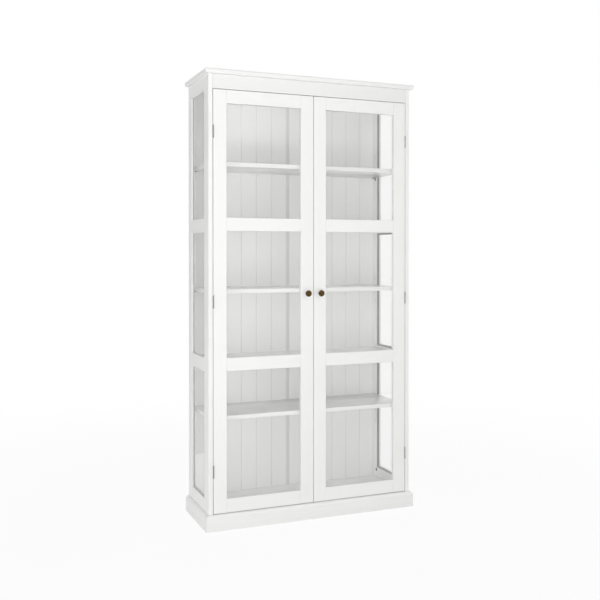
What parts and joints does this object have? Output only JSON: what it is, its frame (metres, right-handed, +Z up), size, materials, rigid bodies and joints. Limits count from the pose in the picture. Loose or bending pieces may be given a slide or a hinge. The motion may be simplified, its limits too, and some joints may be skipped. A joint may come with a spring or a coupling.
{
  "type": "display cabinet",
  "caption": "Tall free-standing display cabinet with glazed doors, glazed sides, boarded back, shelves, plinth and overhanging cap board.",
  "frame": {"origin": "on the floor, in the middle of the width and of the whole depth, knobs included", "axes": "+X to the right as seen from the front, +Y to the back, +Z up; the doors face -Y"},
  "size_m": [1, 0.35, 1.96],
  "materials": {
    "white_paint": "satin white paint",
    "clear_glass": "clear, polished",
    "nickel_steel": "nickel plated",
    "aged_brass": "antique brown",
    "catch_plastic": "matte white",
    "strip_plastic": "matte white",
    "seal_grey": "matte grey"
  },
  "bodies": {
    "case": {"back_joining_strip": "strip_plastic", "back_panel_left": "white_paint", "back_panel_right": "white_paint", "base_panel": "white_paint", "cap_board": "white_paint", "frieze_rail": "white_paint", "left_lower_hinge_case_leaf": "nickel_steel", "left_magnet_catch": "catch_plastic", "left_middle_hinge_case_leaf": "nickel_steel", "left_side_frame": "white_paint", "left_side_lower_pane": "clear_glass", "left_side_middle_pane": "clear_glass", "left_side_upper_pane": "clear_glass", "left_upper_hinge_case_leaf": "nickel_steel", "lower_fixed_shelf": "white_paint", "lower_loose_shelf": "white_paint", "middle_loose_shelf": "white_paint", "plinth_front": "white_paint", "plinth_left": "white_paint", "plinth_rear": "white_paint", "plinth_right": "white_paint", "right_lower_hinge_case_leaf": "nickel_steel", "right_magnet_catch": "catch_plastic", "right_middle_hinge_case_leaf": "nickel_steel", "right_side_frame": "white_paint", "right_side_lower_pane": "clear_glass", "right_side_middle_pane": "clear_glass", "right_side_upper_pane": "clear_glass", "right_upper_hinge_case_leaf": "nickel_steel", "upper_fixed_shelf": "white_paint", "upper_loose_shelf": "white_paint"},
    "left_door": {"left_door_bottom_rail": "white_paint", "left_door_hinge_stile": "white_paint", "left_door_knob": "aged_brass", "left_door_lower_mid_rail": "white_paint", "left_door_lower_pane": "clear_glass", "left_door_meeting_stile": "white_paint", "left_door_middle_pane": "clear_glass", "left_door_strike_plate": "nickel_steel", "left_door_top_rail": "white_paint", "left_door_upper_mid_rail": "white_paint", "left_door_upper_pane": "clear_glass", "left_lower_hinge_door_leaf": "nickel_steel", "left_middle_hinge_door_leaf": "nickel_steel", "left_upper_hinge_door_leaf": "nickel_steel"},
    "right_door": {"right_door_bottom_rail": "white_paint", "right_door_hinge_stile": "white_paint", "right_door_knob": "aged_brass", "right_door_lower_mid_rail": "white_paint", "right_door_lower_pane": "clear_glass", "right_door_meeting_stile": "white_paint", "right_door_middle_pane": "clear_glass", "right_door_strike_plate": "nickel_steel", "right_door_top_rail": "white_paint", "right_door_upper_mid_rail": "white_paint", "right_door_upper_pane": "clear_glass", "right_lower_hinge_door_leaf": "nickel_steel", "right_middle_hinge_door_leaf": "nickel_steel", "right_upper_hinge_door_leaf": "nickel_steel"}
  },
  "joints": [
    {"name": "left_door_hinge", "type": "hinge", "parent": "case", "child": "left_door", "pos_m": [-0.462, -0.1528, 0.9732], "axis": [0, 0, -1], "range_deg": [0, 180]},
    {"name": "right_door_hinge", "type": "hinge", "parent": "case", "child": "right_door", "pos_m": [0.462, -0.1528, 0.9732], "axis": [0, 0, 1], "range_deg": [0, 180]}
  ]
}
